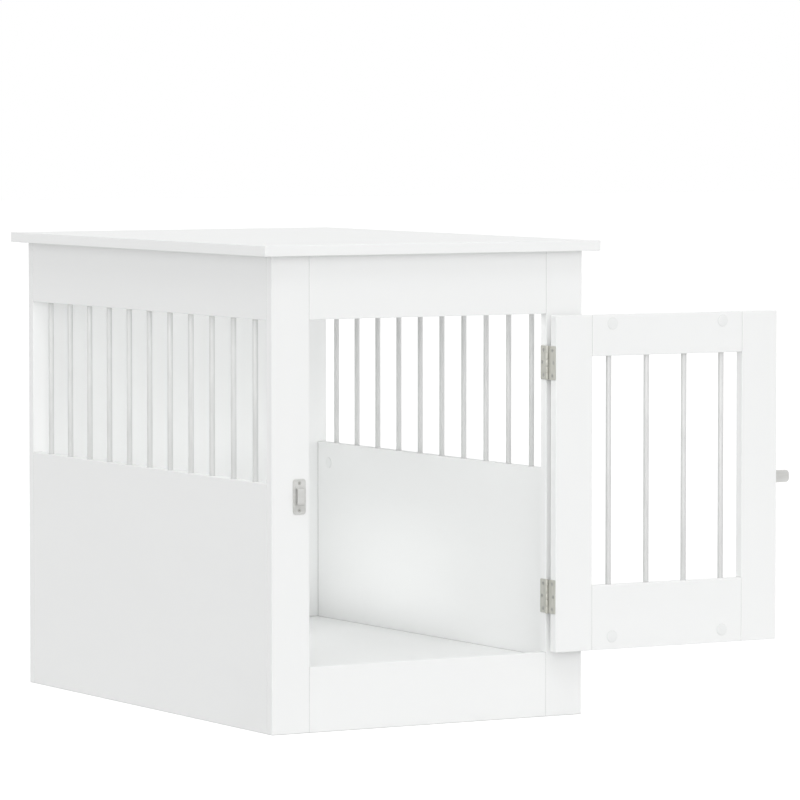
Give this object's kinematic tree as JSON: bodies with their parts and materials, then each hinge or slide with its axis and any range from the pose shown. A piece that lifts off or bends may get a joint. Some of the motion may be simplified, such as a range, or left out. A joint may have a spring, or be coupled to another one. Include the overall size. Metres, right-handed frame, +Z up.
{
  "type": "wooden dog crate",
  "caption": "White end-table dog crate of flat boards with metal side bars and a front barred door that stands open on butt hinges.",
  "frame": {"origin": "on the floor, under the middle of the body's footprint (the open door is left out of the middle)", "axes": "+X across the front towards the hinged side, +Y from the front to the back, +Z up"},
  "size_m": [0.876, 0.8088, 0.68],
  "materials": {
    "white_board": "smooth white foil over engineered wood, satin",
    "bar_metal": "pale silver grey, satin",
    "hinge_steel": "plain nickel-plated steel",
    "latch_steel": "satin nickel-plated steel",
    "screw_steel": "zinc-plated steel",
    "zinc": "die-cast zinc",
    "beech": "bare fluted beech",
    "white_plastic": "matt white"
  },
  "bodies": {
    "crate_body": {"top_panel": "white_board", "front_left_stile": "white_board", "front_right_stile": "white_board", "front_top_rail": "white_board", "front_plinth": "white_board", "left_top_rail": "white_board", "left_lower_panel": "white_board", "left_bars": "bar_metal", "right_top_rail": "white_board", "right_lower_panel": "white_board", "right_bars": "bar_metal", "back_panel": "white_board", "floor_panel": "white_board", "body_cam_locks": "zinc", "body_cam_pins": "zinc", "body_dowels": "beech", "body_cover_caps": "white_plastic", "upper_hinge_frame_leaf": "hinge_steel", "upper_hinge_pin": "hinge_steel", "lower_hinge_frame_leaf": "hinge_steel", "lower_hinge_pin": "hinge_steel", "hinge_frame_screws": "screw_steel", "keeper_plate": "latch_steel", "keeper_screws": "screw_steel"},
    "door": {"door_hinge_stile": "white_board", "door_latch_stile": "white_board", "door_top_rail": "white_board", "door_bottom_rail": "white_board", "door_bars": "bar_metal", "door_cam_locks": "zinc", "door_cam_pins": "zinc", "door_dowels": "beech", "door_cover_caps": "white_plastic", "upper_hinge_door_leaf": "hinge_steel", "lower_hinge_door_leaf": "hinge_steel", "hinge_door_screws": "screw_steel", "latch_plate": "latch_steel", "latch_screws": "screw_steel"},
    "bolt": {"latch_bolt": "latch_steel", "latch_knob": "latch_steel"}
  },
  "joints": [
    {"name": "door_hinge", "type": "hinge", "parent": "crate_body", "child": "door", "pos_m": [0.1905, -0.387, 0.33975], "axis": [0, 0, 1], "range_deg": [-180, 8]},
    {"name": "bolt_slide", "type": "slide", "parent": "door", "child": "bolt", "axis": [-1, 0, 0], "range_m": [0, 0.033]}
  ]
}
